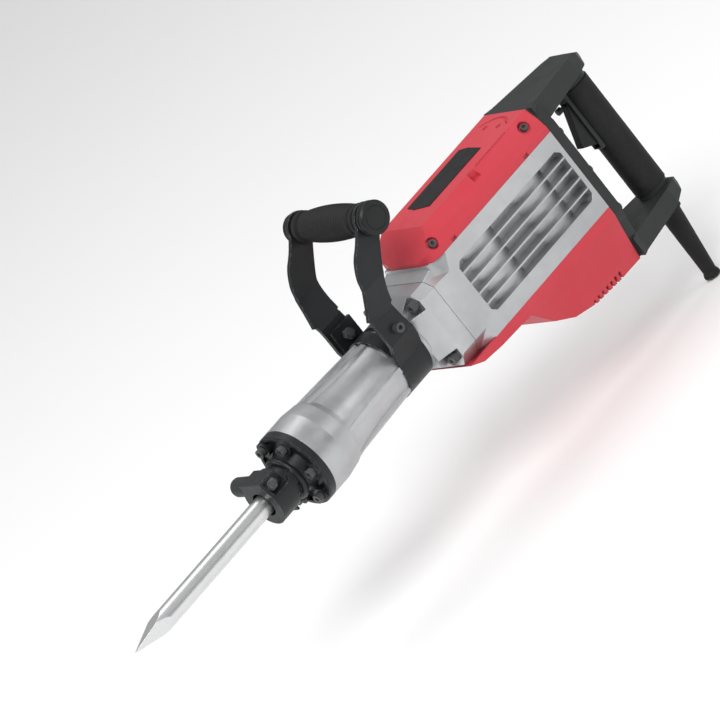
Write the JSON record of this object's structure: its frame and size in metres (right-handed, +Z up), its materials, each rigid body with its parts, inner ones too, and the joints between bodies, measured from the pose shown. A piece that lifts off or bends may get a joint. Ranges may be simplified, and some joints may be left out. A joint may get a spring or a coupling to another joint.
{
  "type": "electric demolition hammer",
  "caption": "Heavy electric demolition hammer with a pointed chisel, a clamped-on side handle and a D-shaped rear handle with its trigger.",
  "frame": {"origin": "on the tool axis at the tool holder's mouth, where the chisel's shank goes in", "axes": "+X back along the tool axis to the rear handle, -X out along the chisel, +Z up to the long top cover and the side handle's grip, Y across"},
  "size_m": [1.02, 0.1854, 0.4665],
  "materials": {
    "steel": "ground",
    "bright": "bright forged, light machining marks",
    "blackmetal": "black satin",
    "zinc": "dull plated",
    "darkscrew": "black oxide",
    "alu": "die cast, blasted",
    "iron": "machined where it fits",
    "rubber": "matt",
    "red": "fine grain, satin",
    "grey": "fine grain",
    "blackplastic": "satin",
    "label": "gloss, blank",
    "copper": "varnished winding"
  },
  "bodies": {
    "hammer": {"retainer_holder": "blackmetal", "retainer_collar": "darkscrew", "front_cover": "blackmetal", "front_cover_bolts": "darkscrew", "tool_bush": "steel", "damper_ring": "rubber", "beat_guide": "steel", "cylinder_case": "alu", "case_bolts": "darkscrew", "cylinder_sleeve": "steel", "crank_bearings": "steel", "crank_case": "alu", "crank_cover": "alu", "gear_cover": "alu", "idler_bearings": "steel", "motor_bearings": "steel", "stator_core": "iron", "stator_coils": "copper", "brush_holders": "blackplastic", "brushes": "blackplastic", "motor_housing": "red", "housing_screws": "darkscrew", "top_cover": "red", "cover_screws": "darkscrew", "label_plate": "label", "rear_housing": "grey", "tail_bolts": "darkscrew", "grip_tube": "grey", "grip_sleeve": "rubber", "switch_box": "blackplastic", "trigger_pin": "steel", "cord_sleeve": "rubber"},
    "chisel": {"chisel": "bright"},
    "retainer": {"retainer_pin": "steel"},
    "knob": {"retainer_knob": "grey"},
    "beat": {"beat_piece": "steel"},
    "striker": {"striker": "steel", "striker_ring": "rubber"},
    "piston": {"piston": "alu", "piston_ring": "rubber", "wrist_pin": "steel"},
    "rod": {"connecting_rod": "alu"},
    "crank": {"crankshaft": "steel", "crank_gear": "steel"},
    "idler": {"idler_shaft": "steel", "idler_gear": "steel"},
    "armature": {"armature": "iron", "commutator": "copper", "fan": "blackplastic"},
    "trigger": {"trigger": "blackplastic"},
    "lock": {"lock_button": "blackplastic"},
    "side_handle": {"clamp_strap": "blackmetal", "far_arm": "blackmetal", "clamp_saddle": "blackmetal", "handle_bolts": "darkscrew", "handle_nuts": "darkscrew", "side_grip": "rubber", "grip_caps": "blackplastic"}
  },
  "joints": [
    {"name": "chisel_slide", "type": "slide", "parent": "hammer", "child": "chisel", "axis": [-1, 0, 0], "range_m": [0, 0.028]},
    {"name": "retainer_turn", "type": "hinge", "parent": "hammer", "child": "retainer", "pos_m": [0.02, 0, 0.019], "axis": [0, 1, 0], "range_deg": [0, 180]},
    {"name": "knob_pull", "type": "slide", "parent": "retainer", "child": "knob", "axis": [0, 1, 0], "range_m": [0, 0.008], "stiffness_N_per_m": 1500, "springref_m": -0.004},
    {"name": "beat_slide", "type": "slide", "parent": "hammer", "child": "beat", "axis": [-1, 0, 0], "range_m": [0, 0.006]},
    {"name": "striker_slide", "type": "slide", "parent": "hammer", "child": "striker", "axis": [1, 0, 0], "range_m": [0, 0.04]},
    {"name": "piston_slide", "type": "slide", "parent": "hammer", "child": "piston", "axis": [1, 0, 0], "range_m": [0, 0.04]},
    {"name": "rod_swing", "type": "hinge", "parent": "piston", "child": "rod", "pos_m": [0.34, 0, 0], "axis": [0, 0, 1], "range_deg": [-12.8, 12.8]},
    {"name": "crank_spin", "type": "hinge", "parent": "hammer", "child": "crank", "pos_m": [0.45, 0, 0], "axis": [0, 0, 1], "continuous": true},
    {"name": "idler_spin", "type": "hinge", "parent": "hammer", "child": "idler", "pos_m": [0.505, 0, 0], "axis": [0, 0, 1], "continuous": true},
    {"name": "armature_spin", "type": "hinge", "parent": "hammer", "child": "armature", "pos_m": [0.557, 0, 0], "axis": [0, 0, 1], "continuous": true},
    {"name": "trigger_press", "type": "hinge", "parent": "hammer", "child": "trigger", "pos_m": [0.71, 0, 0.058], "axis": [0, -1, 0], "range_deg": [0, 7], "stiffness_Nm_per_rad": 1, "springref_deg": -11.46},
    {"name": "lock_press", "type": "slide", "parent": "trigger", "child": "lock", "axis": [1, 0, 0], "range_m": [0, 0.003], "stiffness_N_per_m": 300, "springref_m": -0.002},
    {"name": "side_handle_turn", "type": "hinge", "parent": "hammer", "child": "side_handle", "pos_m": [0, 0, 0], "axis": [1, 0, 0], "continuous": true}
  ],
  "couplings": [
    {"joint": "idler_spin", "follows": "armature_spin", "ratio": -0.26829},
    {"joint": "crank_spin", "follows": "armature_spin", "ratio": 0.10061}
  ]
}
